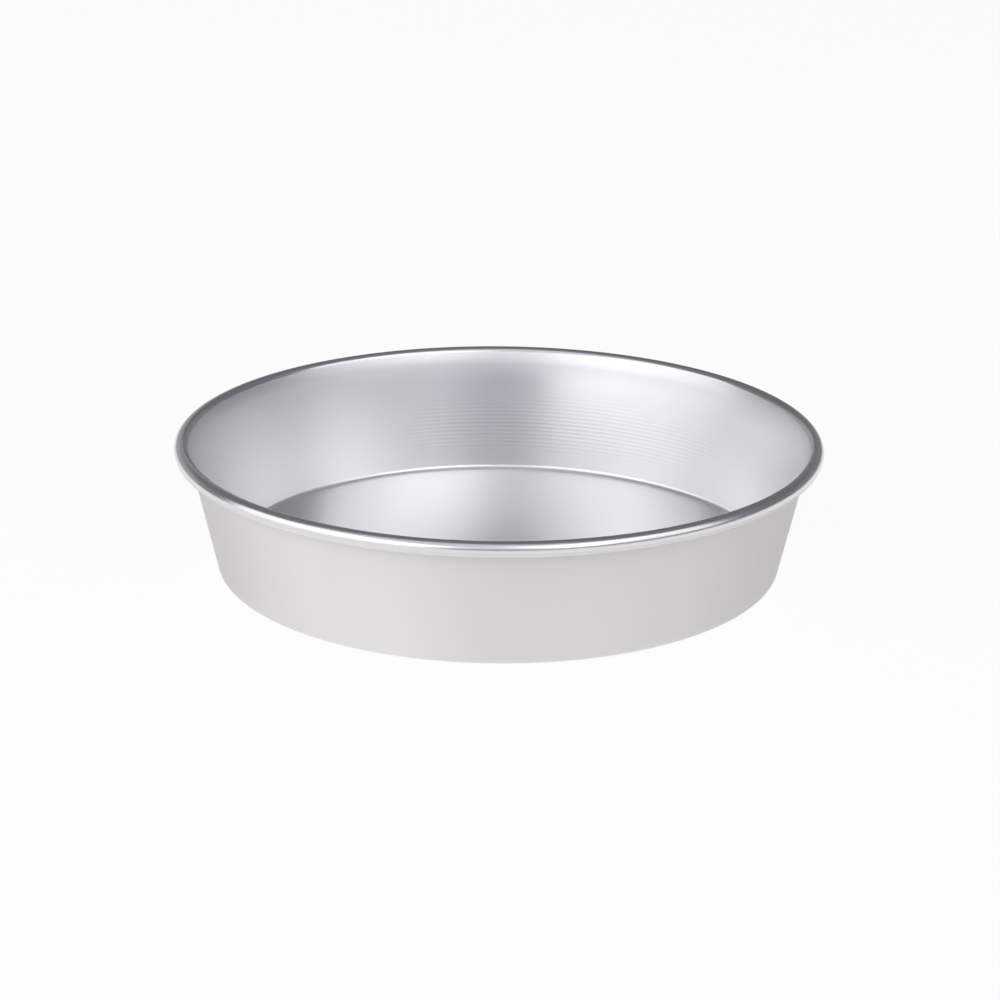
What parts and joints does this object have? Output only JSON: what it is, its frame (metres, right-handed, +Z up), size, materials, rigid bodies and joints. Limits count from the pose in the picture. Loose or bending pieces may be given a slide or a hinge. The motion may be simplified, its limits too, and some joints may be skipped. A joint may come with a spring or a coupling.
{
  "type": "cake pan",
  "caption": "Round cake pan of spun aluminium with a flat floor, a sloping wall and an outward rolled rim; holds batter or dough in the oven.",
  "frame": {"origin": "centre of the underside, on the surface that the pan stands on", "axes": "+Z up, along the pan's axis, from the floor to the open mouth; the pan is round, so X and Y are alike"},
  "size_m": [0.28, 0.28, 0.0577],
  "materials": {
    "spun_aluminium": "satin, with fine rings left by spinning",
    "wire_steel": "dull galvanised wire"
  },
  "bodies": {
    "root": {"pan_shell": "spun_aluminium", "rim_wire": "wire_steel"}
  },
  "joints": []
}
